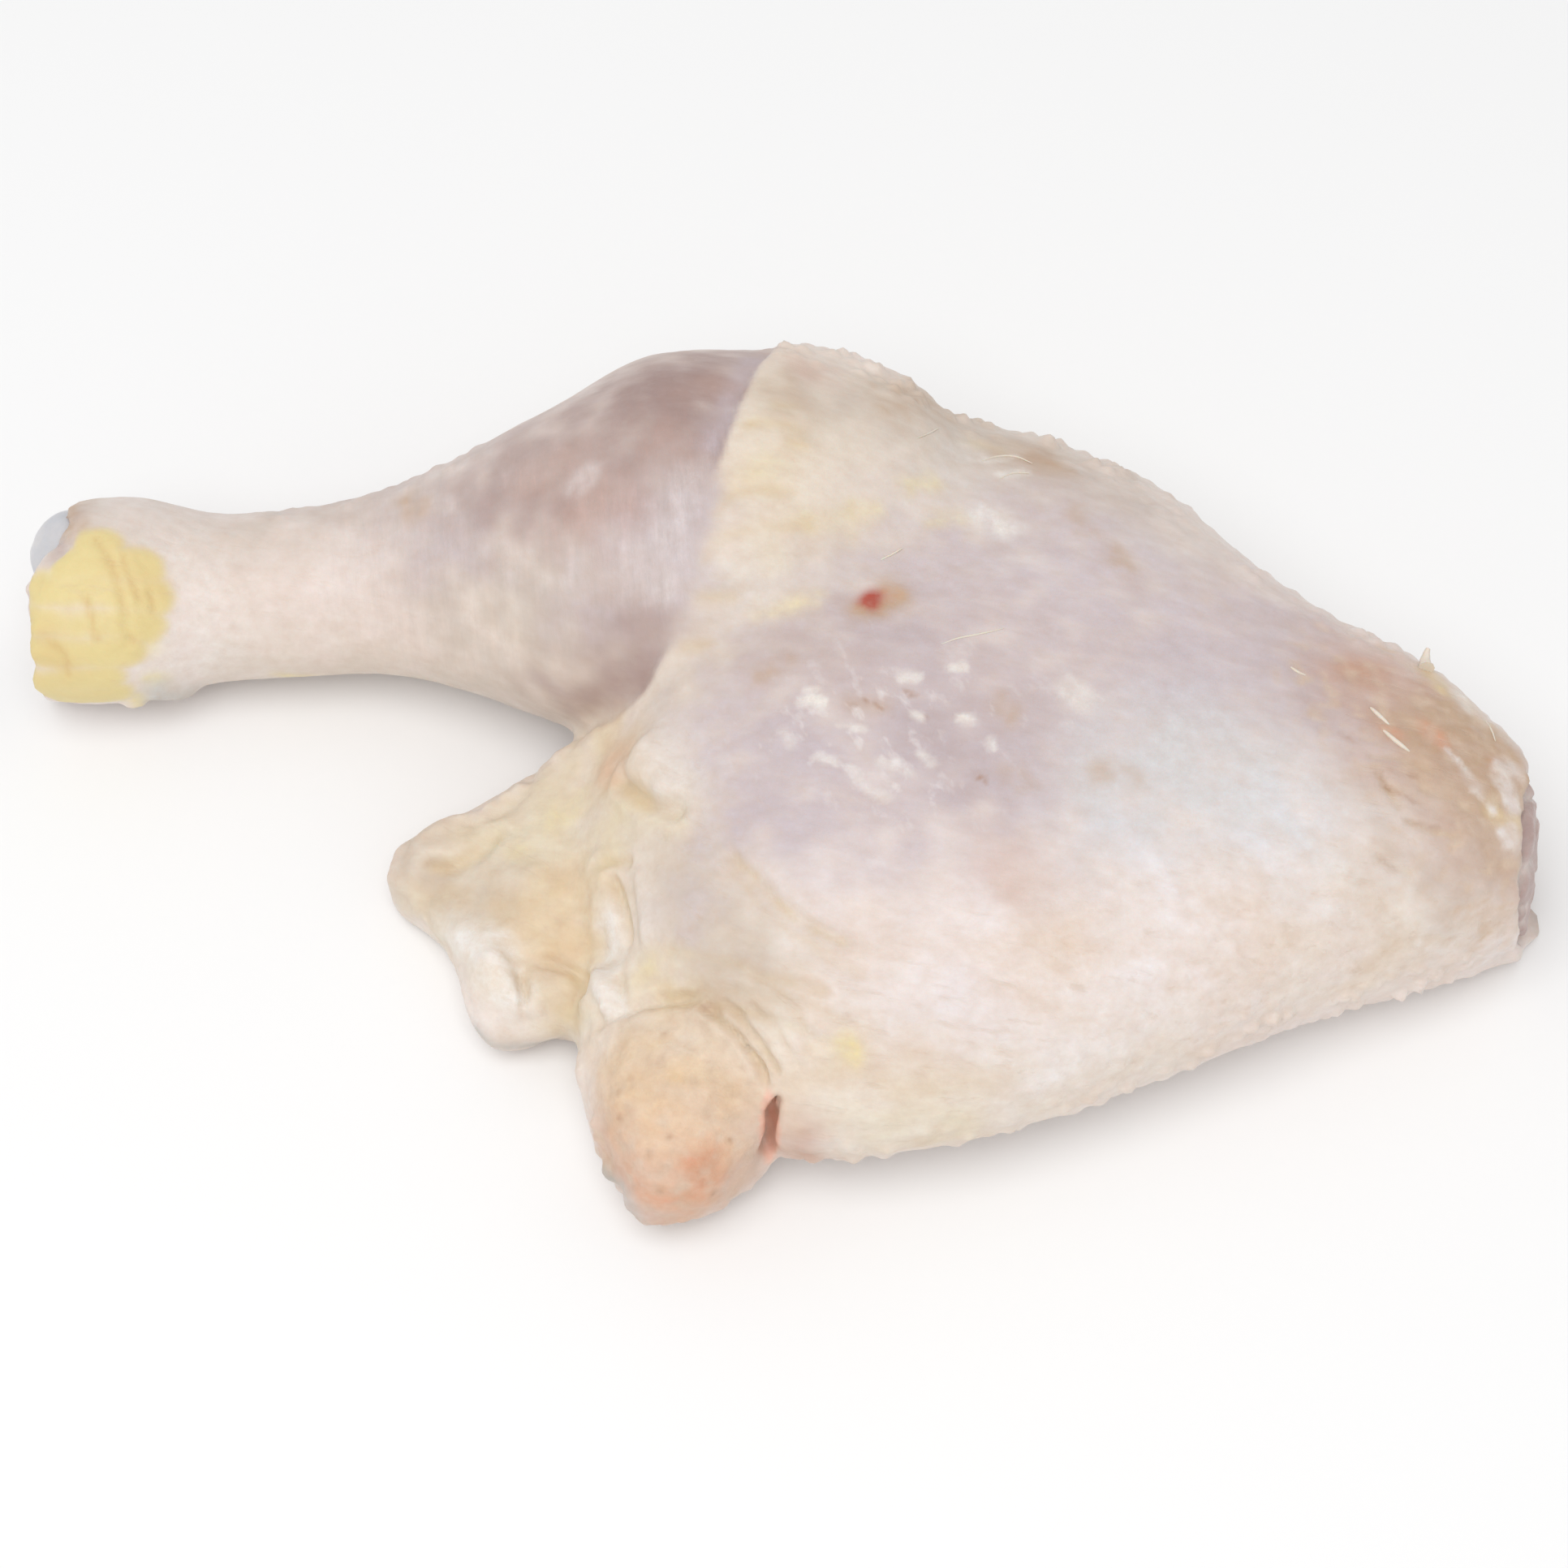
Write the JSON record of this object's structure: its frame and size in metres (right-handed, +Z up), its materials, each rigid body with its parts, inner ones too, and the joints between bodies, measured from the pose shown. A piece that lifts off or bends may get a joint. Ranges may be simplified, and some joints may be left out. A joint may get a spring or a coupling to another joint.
{
  "type": "raw chicken leg quarter",
  "caption": "Whole raw chicken leg with skin on: slim shank, round calf and broad flat thigh, with a loose skin flap and the tail; rests on its flat underside.",
  "frame": {"origin": "middle of the flat underside", "axes": "+X along the leg from the hock end to the hip cut, +Z up from the surface it lies on, -Y towards the tail and the skin flap"},
  "size_m": [0.2168, 0.1306, 0.0498],
  "materials": {
    "skin": "moist pale cream skin, mauve over the meat and yellow over fat",
    "meat": "moist raw meat, mauve brown",
    "bone": "smooth bluish white cartilage"
  },
  "bodies": {
    "root": {"skin": "skin", "meat": "meat", "shin_bone": "bone"}
  },
  "joints": []
}
